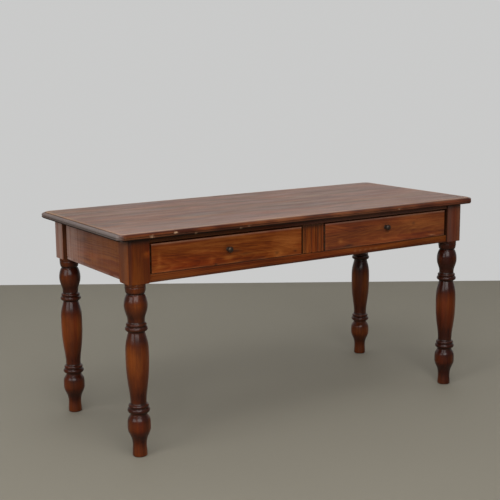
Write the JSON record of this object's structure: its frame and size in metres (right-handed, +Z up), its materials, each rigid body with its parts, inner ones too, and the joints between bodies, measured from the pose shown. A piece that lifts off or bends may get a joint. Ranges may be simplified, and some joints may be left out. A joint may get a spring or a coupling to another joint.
{
  "type": "kitchen table with drawers",
  "caption": "Rectangular wooden kitchen table on turned legs, with two sliding drawers with small iron knobs side by side under the front edge of a plank top.",
  "frame": {"origin": "on the floor, at the plan centre of the table", "axes": "+X along the length of the table, to the right as seen from the drawer side; +Y towards the back, so the drawers open towards -Y; +Z up"},
  "size_m": [1.56, 0.676, 0.77],
  "materials": {
    "top_wood": "worn satin stain and wax",
    "frame_wood": "satin stained",
    "leg_wood": "glossy dark stain",
    "drawer_front_wood": "satin stained",
    "bare_wood": "unfinished, aged",
    "dark_iron": "blackened",
    "steel_fixings": "dull"
  },
  "bodies": {
    "table_frame": {"top_board_1": "top_wood", "top_board_2": "top_wood", "top_board_3": "top_wood", "top_board_4": "top_wood", "leg_front_left": "leg_wood", "leg_front_right": "leg_wood", "leg_back_left": "leg_wood", "leg_back_right": "leg_wood", "end_apron_left": "frame_wood", "end_apron_right": "frame_wood", "back_apron": "frame_wood", "front_bottom_rail": "frame_wood", "front_top_rail": "frame_wood", "centre_stile": "frame_wood", "runner_left": "bare_wood", "runner_centre": "bare_wood", "runner_right": "bare_wood", "guide_left": "bare_wood", "guide_centre": "bare_wood", "guide_right": "bare_wood", "kicker_left": "bare_wood", "kicker_centre": "bare_wood", "kicker_right": "bare_wood", "glue_blocks": "bare_wood", "drawer_stops": "bare_wood", "top_screws": "steel_fixings"},
    "left_drawer": {"left_drawer_front": "drawer_front_wood", "left_drawer_left_side": "bare_wood", "left_drawer_right_side": "bare_wood", "left_drawer_back": "bare_wood", "left_drawer_bottom": "bare_wood", "left_drawer_bottom_nails": "steel_fixings", "left_drawer_knob": "dark_iron", "left_drawer_knob_washer": "steel_fixings", "left_drawer_knob_nut": "steel_fixings"},
    "right_drawer": {"right_drawer_front": "drawer_front_wood", "right_drawer_left_side": "bare_wood", "right_drawer_right_side": "bare_wood", "right_drawer_back": "bare_wood", "right_drawer_bottom": "bare_wood", "right_drawer_bottom_nails": "steel_fixings", "right_drawer_knob": "dark_iron", "right_drawer_knob_washer": "steel_fixings", "right_drawer_knob_nut": "steel_fixings"}
  },
  "joints": [
    {"name": "left_drawer_slide", "type": "slide", "parent": "table_frame", "child": "left_drawer", "axis": [0, -1, 0], "range_m": [0, 0.4]},
    {"name": "right_drawer_slide", "type": "slide", "parent": "table_frame", "child": "right_drawer", "axis": [0, -1, 0], "range_m": [0, 0.4]}
  ]
}
